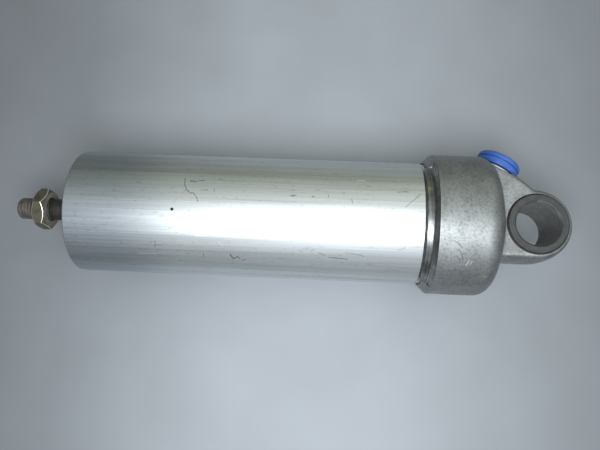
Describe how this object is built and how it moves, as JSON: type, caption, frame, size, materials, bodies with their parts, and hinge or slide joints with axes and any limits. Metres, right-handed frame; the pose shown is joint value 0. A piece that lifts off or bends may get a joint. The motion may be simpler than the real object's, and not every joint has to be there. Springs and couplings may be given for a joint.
{
  "type": "pneumatic cylinder",
  "caption": "Round single-acting air cylinder: aluminium tube, cast rear cap with bushed eye and angled push-in port, sprung piston and threaded rod end with thin nut.",
  "frame": {"origin": "centre of the rear eye's bore, half-way through the lug", "axes": "+X along the cylinder, the way the rod extends; +Z along the eye's bore; the push-in port is on the -Y side"},
  "size_m": [0.2515, 0.0671, 0.063],
  "materials": {
    "drawn_aluminium": "drawn, bright with fine lengthwise lines",
    "cast_aluminium": "die-cast, tumbled grey skin",
    "machined_aluminium": "turned",
    "dark_steel": "dark phosphated steel",
    "olive_zinc": "aged olive chromated zinc",
    "bright_steel": "bright zinc",
    "spring_steel": "dark drawn spring steel",
    "nickel": "nickel-plated brass",
    "bronze": "sintered bronze",
    "nitrile": "matt black rubber",
    "blue_polymer": "moulded blue acetal",
    "pale_polymer": "natural acetal"
  },
  "bodies": {
    "barrel": {"barrel_tube": "drawn_aluminium", "rear_cap": "cast_aluminium", "cap_o_ring": "nitrile", "pivot_bush": "dark_steel", "rear_bumper": "nitrile", "fitting_body": "nickel", "fitting_o_ring": "nitrile", "hose_seal": "nitrile", "support_ring": "pale_polymer", "grip_ring": "bright_steel", "front_cover": "machined_aluminium", "front_cover_o_ring": "nitrile", "guide_bush": "bronze", "rod_wiper": "nitrile", "front_circlip": "spring_steel", "stop_sleeve": "pale_polymer", "front_bumper": "nitrile", "return_spring": "spring_steel"},
    "spring_seat": {"spring_seat_ring": "bright_steel"},
    "rod": {"piston_rod": "dark_steel", "jam_nut": "olive_zinc", "piston_body": "machined_aluminium", "piston_cup_seal": "nitrile", "piston_wear_ring": "pale_polymer", "piston_washer": "bright_steel", "piston_lock_nut": "bright_steel"},
    "collar": {"release_collar": "blue_polymer"}
  },
  "joints": [
    {"name": "rod_slide", "type": "slide", "parent": "barrel", "child": "spring_seat", "axis": [1, 0, 0], "range_m": [0, 0.085], "stiffness_N_per_m": 1000, "springref_m": -0.08, "deforming": ["return_spring"]},
    {"name": "rod_spin", "type": "hinge", "parent": "spring_seat", "child": "rod", "pos_m": [0.06, 0, 0], "axis": [1, 0, 0], "continuous": true},
    {"name": "collar_press", "type": "slide", "parent": "barrel", "child": "collar", "axis": [0.4695, 0.8829, 0], "range_m": [0, 0.0008], "stiffness_N_per_m": 1500, "springref_m": -0.0015}
  ]
}
